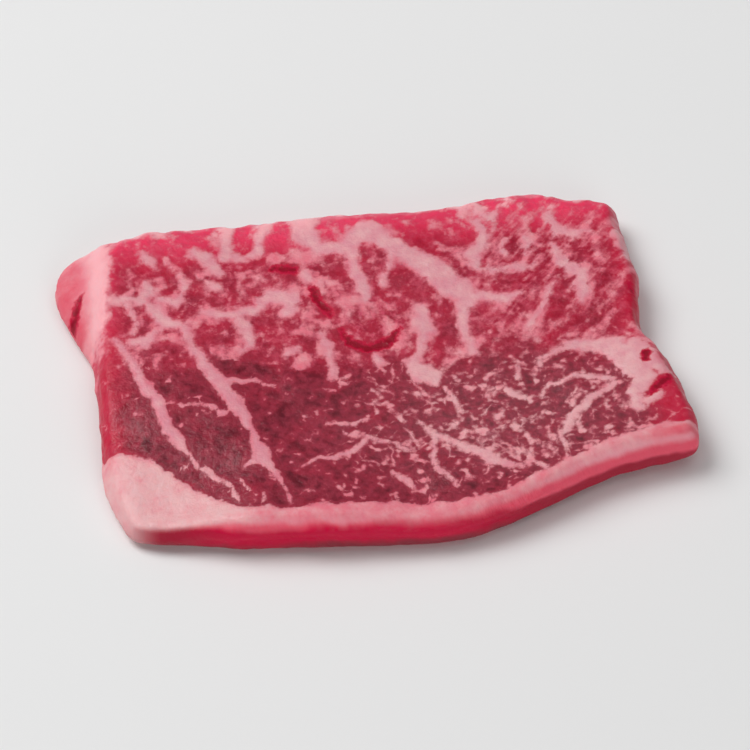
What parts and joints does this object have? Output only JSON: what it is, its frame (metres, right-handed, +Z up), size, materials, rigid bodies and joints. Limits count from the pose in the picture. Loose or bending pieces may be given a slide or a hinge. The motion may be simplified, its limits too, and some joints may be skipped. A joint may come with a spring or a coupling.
{
  "type": "raw beef chuck slice",
  "caption": "Thin irregular four-sided slice of raw marbled beef chuck with a soft rim of fat along its front edge, lying flat.",
  "frame": {"origin": "under the middle of the bounding box, at the height of the flat underside", "axes": "+X along the slice's length towards its pointed end, +Y towards its straight back edge, +Z up from the surface it lies on"},
  "size_m": [0.0818, 0.0566, 0.0067],
  "materials": {
    "raw_beef": "moist raw beef: dark red lean with pink fat grown through it, softly shiny"
  },
  "bodies": {
    "root": {"beef_slice": "raw_beef"}
  },
  "joints": []
}
